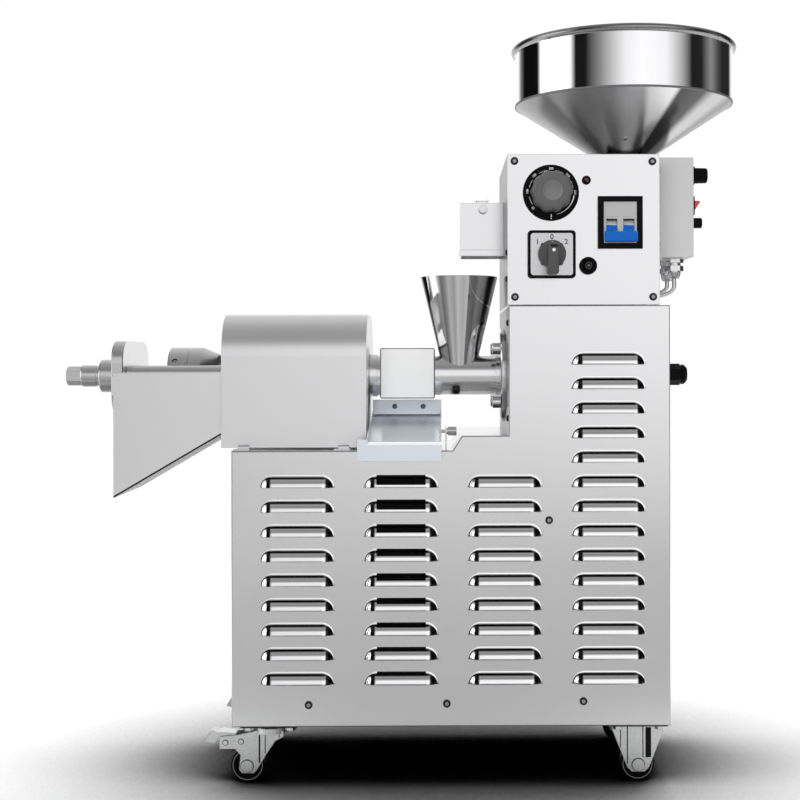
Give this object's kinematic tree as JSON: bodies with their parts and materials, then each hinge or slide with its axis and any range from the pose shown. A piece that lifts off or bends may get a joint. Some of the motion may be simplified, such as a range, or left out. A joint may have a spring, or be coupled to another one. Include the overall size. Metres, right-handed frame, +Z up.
{
  "type": "screw oil press",
  "caption": "Wheeled stainless screw oil press with a louvred cabinet, feed hopper and control box, heated press barrel under a hinged hood, drip tray and cake chute.",
  "frame": {"origin": "on the floor, under the middle of the machine's overall box", "axes": "+X along the press from the adjuster end to the hopper end, +Y from the control side to the back, +Z up"},
  "size_m": [0.777, 0.274, 0.8278],
  "materials": {
    "satin_steel": "fine satin-brushed stainless sheet",
    "polished_steel": "mirror-polished stainless steel",
    "grey_paint": "fine-textured grey powder coat",
    "machined_steel": "turned and ground stainless steel",
    "heater_coat": "satin off-white heat-resistant coat",
    "tray_steel": "bright-rolled stainless sheet",
    "screw_steel": "bright zinc-plated fasteners",
    "zinc_plate": "zinc-plated pressed steel",
    "black_plastic": "moulded black plastic",
    "grey_plastic": "moulded light grey plastic",
    "blue_plastic": "moulded blue plastic",
    "red_plastic": "moulded red plastic",
    "lamp_lens": "dark red lens",
    "cable_jacket": "light grey cable jacket",
    "wheel_rubber": "black rubber tread",
    "cast_housing": "painted casting",
    "gear_steel": "cut gear steel",
    "motor_paint": "motor enamel",
    "belt_rubber": "belt rubber"
  },
  "bodies": {
    "cabinet": {"base_pan": "satin_steel", "breaker_body": "grey_plastic", "cable_glands": "screw_steel", "cake_chute": "satin_steel", "cam_switch_base": "black_plastic", "cap_screws": "screw_steel", "control_box_shell": "satin_steel", "control_panel_plate": "satin_steel", "deck_plate": "satin_steel", "drip_tray": "tray_steel", "drive_belt": "belt_rubber", "drive_motor": "motor_paint", "end_plate": "machined_steel", "feed_chute": "satin_steel", "feed_funnel": "polished_steel", "feed_motor": "motor_paint", "feed_trough": "satin_steel", "feeder_cables": "cable_jacket", "front_panel": "satin_steel", "gearbox_housing": "cast_housing", "heater_block": "heater_coat", "hood_hinges": "screw_steel", "hopper": "polished_steel", "panel_screws": "screw_steel", "pilot_lamp": "lamp_lens", "power_gland": "black_plastic", "press_barrel": "machined_steel", "rear_panel": "satin_steel", "rigid_caster_forks": "zinc_plate", "shaft_bearings": "gear_steel", "side_control_box": "grey_paint", "strainer_cage": "machined_steel", "switch_bezels": "black_plastic", "swivel_caster_plates": "zinc_plate", "tie_rods": "machined_steel", "tower_left_plate": "satin_steel", "tower_wrap": "satin_steel"},
    "press_drive": {"press_screw": "gear_steel", "bull_gear": "gear_steel"},
    "pinion": {"pinion_shaft": "gear_steel"},
    "motor": {"motor_rotor": "gear_steel"},
    "auger": {"feed_auger": "gear_steel"},
    "choke": {"choke_cone": "machined_steel"},
    "adjuster": {"adjuster_bolt": "machined_steel"},
    "hood": {"hood": "satin_steel"},
    "dial": {"thermostat_dial": "black_plastic"},
    "breaker": {"breaker_toggle": "blue_plastic"},
    "cam_handle": {"cam_switch_handle": "black_plastic"},
    "reset": {"reset_button": "black_plastic"},
    "speed": {"speed_knob": "black_plastic"},
    "rocker": {"rocker_switch": "red_plastic"},
    "gate": {"feed_gate": "satin_steel"},
    "front_left_caster": {"front_left_fork": "zinc_plate"},
    "rear_left_caster": {"rear_left_fork": "zinc_plate"},
    "front_left_brake": {"front_left_pedal": "zinc_plate"},
    "rear_left_brake": {"rear_left_pedal": "zinc_plate"},
    "front_left_roller": {"front_left_wheel": "wheel_rubber"},
    "rear_left_roller": {"rear_left_wheel": "wheel_rubber"},
    "front_right_roller": {"front_right_wheel": "wheel_rubber"},
    "rear_right_roller": {"rear_right_wheel": "wheel_rubber"}
  },
  "joints": [
    {"name": "press_screw_turn", "type": "hinge", "parent": "cabinet", "child": "press_drive", "pos_m": [0.116, 0.007, 0.447], "axis": [1, 0, 0], "continuous": true},
    {"name": "pinion_turn", "type": "hinge", "parent": "cabinet", "child": "pinion", "pos_m": [0.156, 0.007, 0.36825], "axis": [1, 0, 0], "continuous": true},
    {"name": "motor_turn", "type": "hinge", "parent": "cabinet", "child": "motor", "pos_m": [0.056, 0.007, 0.17], "axis": [1, 0, 0], "continuous": true},
    {"name": "feed_auger_turn", "type": "hinge", "parent": "cabinet", "child": "auger", "pos_m": [0.186, 0.007, 0.62], "axis": [1, 0, 0], "continuous": true},
    {"name": "choke_slide", "type": "slide", "parent": "cabinet", "child": "choke", "axis": [1, 0, 0], "range_m": [-0.004, 0.004]},
    {"name": "adjuster_turn", "type": "hinge", "parent": "choke", "child": "adjuster", "pos_m": [-0.344, 0.007, 0.447], "axis": [1, 0, 0], "range_deg": [-722, 722]},
    {"name": "hood_hinge", "type": "hinge", "parent": "cabinet", "child": "hood", "pos_m": [-0.1174, 0.0975, 0.3715], "axis": [-1, 0, 0], "range_deg": [0, 95]},
    {"name": "thermostat_turn", "type": "hinge", "parent": "cabinet", "child": "dial", "pos_m": [0.1653, -0.103, 0.6463], "axis": [0, 1, 0], "range_deg": [0, 270]},
    {"name": "breaker_throw", "type": "hinge", "parent": "cabinet", "child": "breaker", "pos_m": [0.2407, -0.096, 0.608], "axis": [-1, 0, 0], "range_deg": [0, 56]},
    {"name": "cam_switch_turn", "type": "hinge", "parent": "cabinet", "child": "cam_handle", "pos_m": [0.1659, -0.109, 0.5792], "axis": [0, 1, 0], "range_deg": [-45, 45]},
    {"name": "reset_press", "type": "slide", "parent": "cabinet", "child": "reset", "axis": [0, 1, 0], "range_m": [0, 0.003], "stiffness_N_per_m": 300},
    {"name": "speed_turn", "type": "hinge", "parent": "cabinet", "child": "speed", "pos_m": [0.33, -0.041, 0.673], "axis": [-1, 0, 0], "range_deg": [0, 280]},
    {"name": "rocker_tilt", "type": "hinge", "parent": "cabinet", "child": "rocker", "pos_m": [0.3275, -0.041, 0.6385], "axis": [0, -1, 0], "range_deg": [0, 18]},
    {"name": "gate_lift", "type": "slide", "parent": "cabinet", "child": "gate", "axis": [0, 0, 1], "range_m": [0, 0.045]},
    {"name": "front_left_swivel", "type": "hinge", "parent": "cabinet", "child": "front_left_caster", "pos_m": [-0.143, -0.073, 0.057], "axis": [0, 0, 1], "continuous": true},
    {"name": "front_left_wheel_turn", "type": "hinge", "parent": "front_left_caster", "child": "front_left_roller", "pos_m": [-0.1683, -0.073, 0.019], "axis": [0, 1, 0], "continuous": true},
    {"name": "front_left_brake_press", "type": "hinge", "parent": "front_left_caster", "child": "front_left_brake", "pos_m": [-0.184, -0.073, 0.048], "axis": [0, -1, 0], "range_deg": [0, 12]},
    {"name": "front_right_wheel_turn", "type": "hinge", "parent": "cabinet", "child": "front_right_roller", "pos_m": [0.2615, -0.073, 0.019], "axis": [0, 1, 0], "continuous": true},
    {"name": "rear_left_swivel", "type": "hinge", "parent": "cabinet", "child": "rear_left_caster", "pos_m": [-0.143, 0.087, 0.057], "axis": [0, 0, 1], "continuous": true},
    {"name": "rear_left_wheel_turn", "type": "hinge", "parent": "rear_left_caster", "child": "rear_left_roller", "pos_m": [-0.1683, 0.087, 0.019], "axis": [0, 1, 0], "continuous": true},
    {"name": "rear_left_brake_press", "type": "hinge", "parent": "rear_left_caster", "child": "rear_left_brake", "pos_m": [-0.184, 0.087, 0.048], "axis": [0, -1, 0], "range_deg": [0, 12]},
    {"name": "rear_right_wheel_turn", "type": "hinge", "parent": "cabinet", "child": "rear_right_roller", "pos_m": [0.2615, 0.087, 0.019], "axis": [0, 1, 0], "continuous": true}
  ],
  "couplings": [
    {"joint": "pinion_turn", "follows": "press_screw_turn", "ratio": -4},
    {"joint": "motor_turn", "follows": "press_screw_turn", "ratio": -12},
    {"joint": "adjuster_turn", "follows": "choke_slide", "rad_per_m": 3141.6}
  ]
}
